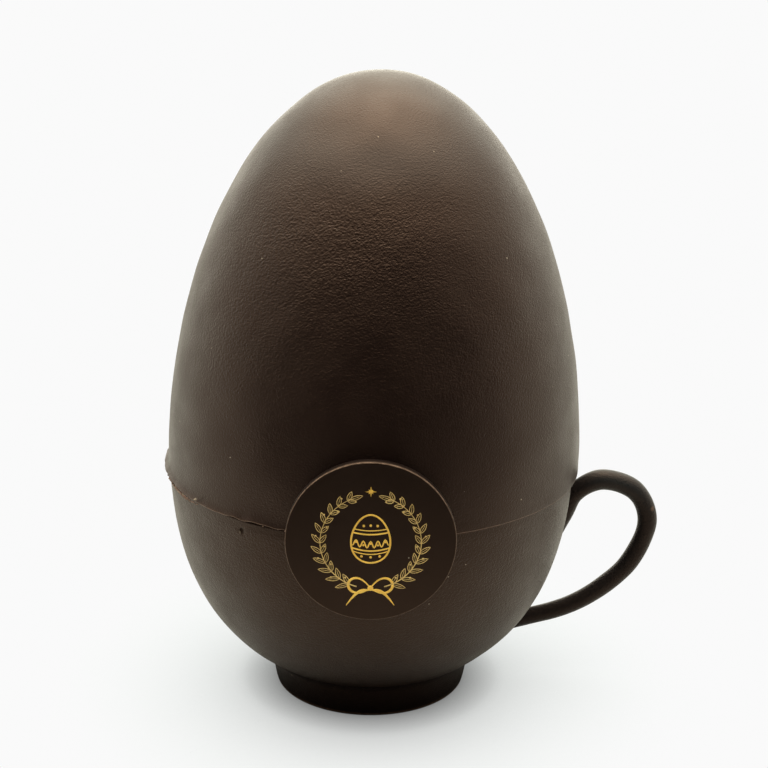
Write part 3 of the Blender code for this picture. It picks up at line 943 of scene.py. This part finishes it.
def make_surroundings():
    """A soft overhead light, as a power of the cosine off its aim, and white walls
    at the back and, brighter, at its two sides; the room in front stays dark."""
    world = bpy.data.worlds.new("studio")
    bpy.context.scene.world = world
    world.use_nodes = True
    tree = world.node_tree
    tree.nodes.clear()
    heading = put(tree, "TexCoord").outputs["Generated"]
    facing = vectors(tree, "DOT_PRODUCT", heading, OVERHEAD_AIM, result="Value")
    overhead = maths(tree, "POWER", maths(tree, "MAXIMUM", facing, 0.0), 3.6)
    parts = put(tree, "SeparateXYZ", {"Vector": heading}).outputs
    back = parts["Y"]
    walls = maths(tree, "ADD", spread(tree, back, -0.8, 0.25, 0.0, WALLS),
                  spread(tree, back, 0.2, 0.95, 0.0, BACK_WALL))
    walls = maths(tree, "ADD", walls, spread(tree, back, 0.9, 1.0, 0.0, RIM_LIGHT))
    across = maths(tree, "ABSOLUTE", parts["X"])
    beside = maths(tree, "MULTIPLY", spread(tree, across, 0.2, 0.45),
                   spread(tree, across, 0.55, 1.0, 1.0, 0.45))
    beside = maths(tree, "MULTIPLY", beside, spread(tree, back, -0.1, 0.4, 0.0, SIDE_WALLS))
    low = spread(tree, parts["Z"], -0.05, 0.4, 1.0, 0.0)
    walls = maths(tree, "MULTIPLY_ADD", beside, low, walls)
    left = spread(tree, parts["X"], -0.85, -0.6, 1.0, 0.0)
    left = maths(tree, "MULTIPLY", left, spread(tree, back, 0.1, 0.45))
    walls = maths(tree, "MULTIPLY", walls, maths(tree, "MULTIPLY_ADD", left, -LEFT_SHADE, 1.0))
    overhead = maths(tree, "MULTIPLY", overhead, spread(tree, back, -0.6, 0.0, 0.68, 1.0))
    above = put(tree, "Background", {
        "Color": OVERHEAD_TINT, "Strength": maths(tree, "MULTIPLY", overhead, OVERHEAD)})
    seen = put(tree, "LightPath").outputs["Is Camera Ray"]
    round_about = put(tree, "Background", {"Color": WALLS_TINT, "Strength": walls})
    lit = put(tree, "AddShader", {0: above.outputs[0], 1: round_about.outputs[0]})
    white = put(tree, "Background", {"Color": (1, 1, 1, 1), "Strength": WHITE_OUT})
    mix = put(tree, "MixShader", {"Fac": seen, 1: lit.outputs[0], 2: white.outputs[0]})
    end = tree.nodes.new("ShaderNodeOutputWorld")
    tree.links.new(mix.outputs[0], end.inputs["Surface"])


CAMERA_PLACE = (0.000366, -0.44, 0.22557)
CAMERA_LENS = 80.6
CAMERA_YAW, CAMERA_PITCH, CAMERA_ROLL = 0.0065, 0.3084, 0.0094


def make_camera():
    """Camera looking along +Y, turned by its yaw, then down by its pitch, then rolled."""
    cy, sy = math.cos(CAMERA_YAW), math.sin(CAMERA_YAW)
    cp, sp = math.cos(CAMERA_PITCH), math.sin(CAMERA_PITCH)
    cr, sr = math.cos(CAMERA_ROLL), math.sin(CAMERA_ROLL)
    level = np.array([cy, -sy, 0])
    ahead = np.array([sy * cp, cy * cp, -sp])
    top = np.cross(level, ahead)
    right, up = level * cr + top * sr, top * cr - level * sr
    data = bpy.data.cameras.new("camera")
    data.lens = CAMERA_LENS
    data.sensor_width = 36
    camera = bpy.data.objects.new("camera", data)
    matrix = np.eye(4)
    matrix[:3] = np.stack([right, up, -ahead, CAMERA_PLACE], -1)
    camera.matrix_world = Matrix(matrix.tolist())
    bpy.context.scene.collection.objects.link(camera)
    bpy.context.scene.camera = camera


# ---------------------------------------------------------------- everything

top_chocolate = chocolate("dark_chocolate", (0.0045, 0.0023, 0.0025, 1),
                          (0.0068, 0.0034, 0.0035, 1), 0.42, 0.15 * MM, stretch=1.25)
cup_chocolate = chocolate("cup_chocolate", (0.0045, 0.0020, 0.0016, 1),
                          (0.0068, 0.0029, 0.0023, 1), 0.42, 0.18 * MM, with_nick_and_reflection=True)
# The foot's chocolate is the cup's with a darker base colour and less shine: painted shade for the
# dark foot.
foot_chocolate_painted_shade = chocolate("foot_chocolate_painted_shade", (0.0030, 0.0017, 0.0017, 1),
                           (0.0048, 0.0025, 0.0025, 1), 0.46, 0.18 * MM, shine=0.2)
handle_chocolate = chocolate("handle_chocolate", (0.0045, 0.0020, 0.0016, 1),
                             (0.0068, 0.0029, 0.0023, 1), 0.42, 0.18 * MM, shine=0.25,
                             with_nick_and_reflection=True)
plaque_chocolate = chocolate("plaque_chocolate", (0.0050, 0.0031, 0.0029, 1),
                             (0.0066, 0.0039, 0.0035, 1), 0.36, 0.03 * MM, 1.4 * MM, 1.0, 0.1,
                             rubbed=(0.125, 0.080, 0.058, 1), fine_share=0.5)
crumb_chocolate = chocolate("crumb_chocolate", (0.08, 0.042, 0.032, 1), (0.22, 0.13, 0.10, 1),
                            0.6, 0.02 * MM, rubbed=(0.24, 0.155, 0.125, 1))
pale_crumb = chocolate("pale_crumb", (0.18, 0.14, 0.10, 1), (0.36, 0.30, 0.24, 1), 0.6,
                       0.02 * MM, rubbed=(0.30, 0.25, 0.20, 1))
fine_gilt = gold_print("gold_print", (0.50, 0.33, 0.11, 1), (0.80, 0.56, 0.21, 1))
bright_gilt = gold_print("gold_print_bright", (0.85, 0.49, 0.07, 1), (1.0, 0.62, 0.11, 1))

make_egg_top(top_chocolate)
make_cup_bowl(cup_chocolate)
make_cup_foot(foot_chocolate_painted_shade)
make_cup_handle(handle_chocolate)
make_plaque(plaque_chocolate)
make_plaque_dab(top_chocolate)
make_seam_crumbs(crumb_chocolate, pale_crumb)
make_wreath(fine_gilt)
make_gilded_egg(bright_gilt)
make_floor()
make_surroundings()
make_camera()
bpy.context.scene.view_settings.view_transform = "Standard"

bpy.context.view_layer.update()
